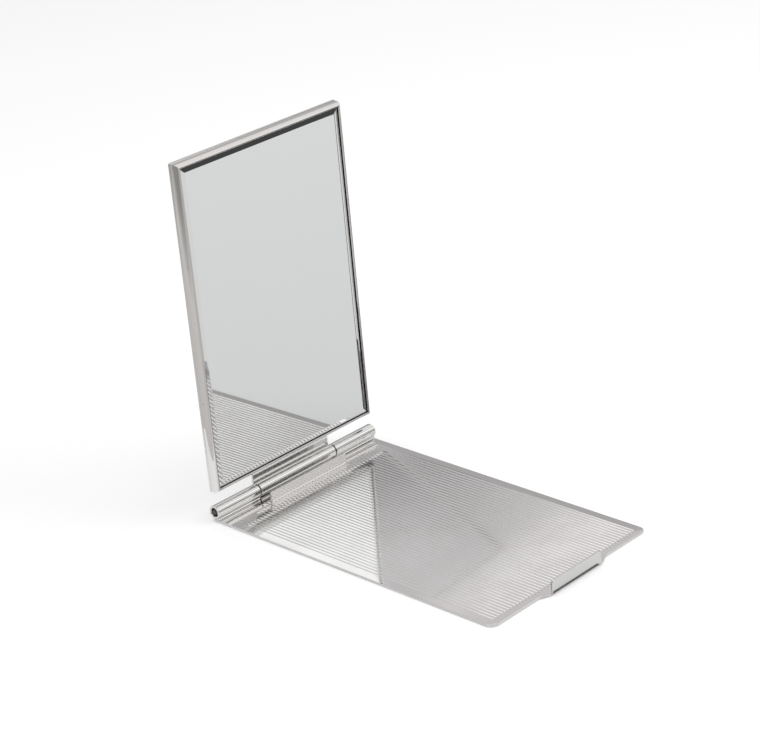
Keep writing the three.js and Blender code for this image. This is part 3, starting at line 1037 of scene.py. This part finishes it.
def black_card():
    """Black card with a mottled face."""
    material, wiring = new_material("black_card")
    point = wiring.point()
    mottle = wiring.ramp(wiring.noise(point, 260, 4, 0.6), [(0.4, 0), (0.7, 1)])
    black, worn = (0.01, 0.01, 0.01), (0.22, 0.22, 0.22)
    wiring.surface({"Base Color": wiring.blend(mottle, black, worn), "Roughness": 0.9})
    return material


def walls_by_height(wiring, rise):
    """The room's tone all round: nearly black below, dim in the middle and pale above."""
    tones = [
        (0.30, 0.10),
        (0.45, 0.06),
        (0.51, 0.06),
        (0.57, (0.42, 0.41, 0.41)),
        (0.70, (0.43, 0.42, 0.42)),
        (0.74, (0.62, 0.61, 0.60)),
        (0.80, (0.80, 0.78, 0.77)),
        (1.00, 0.90),
    ]
    return wiring.ramp(rise * 0.5 + 0.5, tones)


def back_wall(wiring, x, y, rise):
    """The wall behind the mirror, in slanting bands from its lower left, at 0, to its upper right."""
    tones = [
        (0.00, (0.43, 0.42, 0.43)),
        (0.07, (0.57, 0.56, 0.57)),
        (0.33, (0.57, 0.56, 0.57)),
        (0.43, (0.68, 0.67, 0.68)),
        (0.52, (0.48, 0.47, 0.48)),
        (0.64, (0.52, 0.51, 0.52)),
        (0.77, (0.87, 0.85, 0.86)),
        (0.82, (0.87, 0.85, 0.86)),
        (0.90, (0.60, 0.58, 0.59)),
    ]
    foot, across, upwards = 0.449, 4.57, 13.87
    return wiring.ramp((x - y) * across + (rise - foot) * upwards, tones)


def ceiling(wiring, x, y, rise, lamp):
    """At the back a dark beam under a bright bay, and over the camera a lamp and its fading light."""
    beam_tones = [
        (0.752, (0.14, 0.13, 0.14)),
        (0.765, (0.38, 0.37, 0.38)),
        (0.775, (0.52, 0.51, 0.52)),
        (0.783, (1, 0.98, 0.99)),
    ]
    front_tones = [
        (0.530, (0.16, 0.15, 0.16)),
        (0.545, (0.20, 0.19, 0.20)),
        (0.560, (0.42, 0.41, 0.42)),
        (0.575, (0.90, 0.89, 0.89)),
        (0.620, (0.90, 0.89, 0.89)),
        (0.750, (0.40, 0.39, 0.40)),
    ]
    past_beam = wiring.ramp(y, [(0.625, 0), (0.645, 1)])
    pale = (0.9, 0.88, 0.89)
    back_half = wiring.blend(past_beam, wiring.ramp(rise, beam_tones), pale)
    front_half = wiring.blend(lamp, wiring.ramp(rise - x, front_tones), WHITE)
    return wiring.blend(y < 0, back_half, front_half)


def studio_world(world, stage):
    """White for the camera, plain grey as light, and for the metal a dim room with a bright window.

    The window runs along the front, over a pale strip of wall on the right and a dark corner on the left.
    """
    world.use_nodes = True
    wiring = Wiring(world.node_tree)
    x, y, rise = wiring.split(wiring.signal("ShaderNodeTexCoord", "Generated"))
    front = wiring.ramp(y * -1, [(0.25, 0), (0.4, 1)])
    window = wiring.ramp(rise, [(0.452, 0), (0.470, 1), (0.58, 1), (0.64, 0)]) * front
    strip = wiring.ramp(rise, [(0.17, 0), (0.21, 1), (0.355, 1), (0.375, 0)]) * front * x.within(0.4, 0.63)
    dark_corner = wiring.ramp(x * -1, [(0.05, 0), (0.2, 1)]) * rise.within(0, 0.45) * (y < -0.2)
    at_back = wiring.ramp(y, [(0.2, 0), (0.45, 1)])
    on_wall = wiring.ramp(rise, [(0.30, 0), (0.40, 1), (0.52, 1), (0.62, 0)]) * at_back
    above = wiring.ramp(rise, [(0.60, 0), (0.68, 1)]) * wiring.ramp(x, [(0.35, 1), (0.5, 0)])
    lamp = wiring.ramp(rise, [(0.69, 1), (0.73, 0)]) * (y < 0)
    bright_bay = wiring.ramp(rise, [(0.775, 0), (0.783, 1)]) * (y > 0)
    strip_tone, corner_tone = (0.85, 0.85, 0.85), (0.06, 0.06, 0.06)
    room = wiring.blend(on_wall, walls_by_height(wiring, rise), back_wall(wiring, x, y, rise))
    room = wiring.blend(above, room, ceiling(wiring, x, y, rise, lamp))
    room = wiring.blend(dark_corner, room, corner_tone)
    room = wiring.blend(strip, room, strip_tone)
    room = wiring.blend(window, room, WHITE)
    camera, glossy = wiring.rays()
    tone = wiring.blend(glossy, stage.plain_light, room)
    tone = wiring.blend(camera, tone, WHITE)
    strength = 1 + (window * 0.25 + (lamp * 0.3 + bright_bay * 0.15) * above) * glossy
    background = wiring.signal("ShaderNodeBackground", 0, sockets={"Color": tone, "Strength": strength})
    wiring.add("ShaderNodeOutputWorld", sockets={"Surface": background})


def softbox(name, place, target, size, watts):
    """A soft lamp that points at its target and doesn't show in the metal."""
    lamp = bpy.data.lights.new(name, "AREA")
    lamp.shape = "RECTANGLE"
    lamp.size, lamp.size_y = size
    lamp.energy = watts
    piece = bpy.data.objects.new(name, lamp)
    piece.location = place
    piece.rotation_euler = (Vector(target) - Vector(place)).to_track_quat("-Z", "Y").to_euler()
    piece.visible_glossy = False
    bpy.context.scene.collection.objects.link(piece)


def place_camera(scene, stage):
    """The photograph's viewpoint, found from the plate's and the frame's edges."""
    data = bpy.data.cameras.new("photo_camera")
    data.sensor_width = 36
    data.lens = stage.lens
    data.clip_start = 0.01
    data.clip_end = 20
    camera = bpy.data.objects.new("photo_camera", data)
    back = Vector((0, -math.cos(stage.elevation), math.sin(stage.elevation)))
    back.rotate(Matrix.Rotation(-stage.azimuth, 3, "Z"))
    level = Vector((0, 0, 1)).cross(back).normalized()
    rise = back.cross(level)
    right = level * math.cos(stage.roll) + rise * math.sin(stage.roll)
    up = rise * math.cos(stage.roll) - level * math.sin(stage.roll)
    turn = Matrix((right, up, back)).transposed().to_4x4()
    camera.matrix_world = Matrix.Translation(Vector(stage.eye) + Vector((0, HINGE.y, 0))) @ turn
    scene.collection.objects.link(camera)
    scene.camera = camera


class OBJECT_OT_mirror_stage(bpy.types.Operator):
    """Builds the floor, the lights, the black cards beside the mirror, and the camera"""

    bl_idname = "object.handbag_mirror_stage"
    bl_label = "Studio"

    def execute(self, context):
        stage = settings_of(context).stage
        scene = context.scene
        mesh = bmesh.new()
        bmesh.ops.create_circle(mesh, cap_ends=True, segments=96, radius=stage.floor_radius)
        floor = stage_object("floor", mesh, floor_material(stage))
        floor.location.z = -FLOOR_DROP

        mesh = bmesh.new()
        for corners in BLACK_CARDS:
            mesh.faces.new([mesh.verts.new((x, y, CARD_HEIGHT)) for x, y in corners])
        cards = stage_object("black_card", mesh, black_card())
        cards.visible_camera = False
        cards.visible_diffuse = False
        cards.visible_shadow = False

        scene.world = scene.world or bpy.data.worlds.new("studio")
        studio_world(scene.world, stage)
        softbox("overhead", place=(0.05, 0.05, 0.75), target=(0, 0, 0), size=(0.7, 0.5), watts=1.7)
        softbox("front_right", place=(0.42, -0.52, 0.46), target=(0, 0, 0.03), size=(0.45, 0.35), watts=1)
        scene.view_settings.view_transform = "Standard"
        place_camera(scene, stage)
        return {"FINISHED"}


class VIEW3D_PT_handbag_mirror(bpy.types.Panel):
    """Lists the mirror's pieces and settings."""

    bl_label = "Handbag Mirror"
    bl_idname = "VIEW3D_PT_handbag_mirror"
    bl_space_type = "VIEW_3D"
    bl_region_type = "UI"
    bl_category = "Mirror"

    def draw(self, context):
        column = self.layout.column(align=True)
        for operator in OPERATORS:
            column.operator(operator.bl_idname)
        settings = settings_of(context)
        for name in MirrorSettings.__annotations__:
            group = getattr(settings, name)
            box = self.layout.box()
            box.label(text=name.title())
            for key in type(group).__annotations__:
                box.prop(group, key)


OPERATORS = (
    OBJECT_OT_mirror_stage,
    OBJECT_OT_mirror_plate,
    OBJECT_OT_mirror_catch,
    OBJECT_OT_mirror_knuckles,
    OBJECT_OT_mirror_guard,
    OBJECT_OT_mirror_leaf,
    OBJECT_OT_mirror_rails,
    OBJECT_OT_mirror_back,
    OBJECT_OT_mirror_glass,
)
GROUPS = (PlateSizes, HingeSizes, FrameSizes, Finishes, StageSettings, MirrorSettings)
CLASSES = (*GROUPS, *OPERATORS, VIEW3D_PT_handbag_mirror)


def register():
    for item in CLASSES:
        bpy.utils.register_class(item)
    bpy.types.Scene.handbag_mirror = bpy.props.PointerProperty(type=MirrorSettings)


def unregister():
    del bpy.types.Scene.handbag_mirror
    for item in reversed(CLASSES):
        bpy.utils.unregister_class(item)


def main():
    register()
    for operator in OPERATORS:
        getattr(bpy.ops.object, operator.bl_idname.removeprefix("object."))()


if __name__ == "__main__":
    main()
